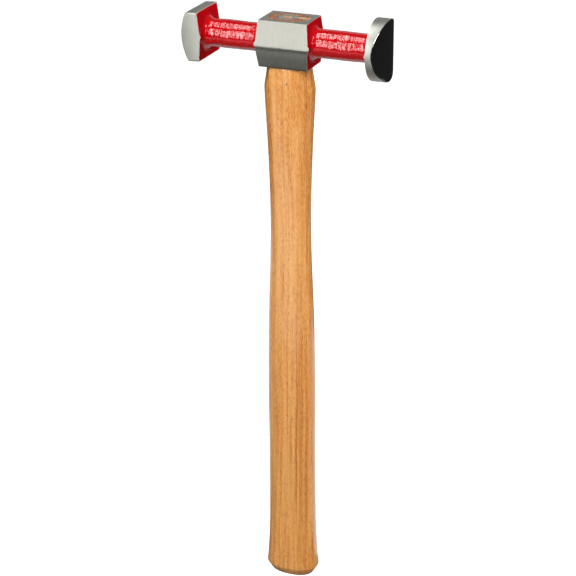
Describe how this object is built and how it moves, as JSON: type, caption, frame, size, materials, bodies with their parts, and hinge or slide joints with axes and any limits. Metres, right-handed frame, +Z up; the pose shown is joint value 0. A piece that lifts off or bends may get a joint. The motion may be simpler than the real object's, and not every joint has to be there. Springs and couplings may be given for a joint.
{
  "type": "panel beating hammer",
  "caption": "Panel beating hammer: forged head with a crowned square plate and a crowned round plate, hung on an oval ash handle with a wood wedge and a steel ring.",
  "frame": {"origin": "middle of the flat at the handle's butt end", "axes": "+Z up the handle to the head, +X along the head to the round plate, -X to the square plate, +Y across the handle's thin side"},
  "size_m": [0.1096, 0.032, 0.332],
  "materials": {
    "head_steel": "ground bright on the block and the plates' edges, polished on the faces, glossy red paint on the necks and in the corners",
    "ash_handle": "clear satin varnish over straight vertical grain",
    "wedge_wood": "bare pale hardwood, sawn flush",
    "ring_steel": "bare grey steel, ground flush"
  },
  "bodies": {
    "root": {"hammer_head": "head_steel", "handle": "ash_handle", "wood_wedge": "wedge_wood", "ring_wedge": "ring_steel"}
  },
  "joints": []
}
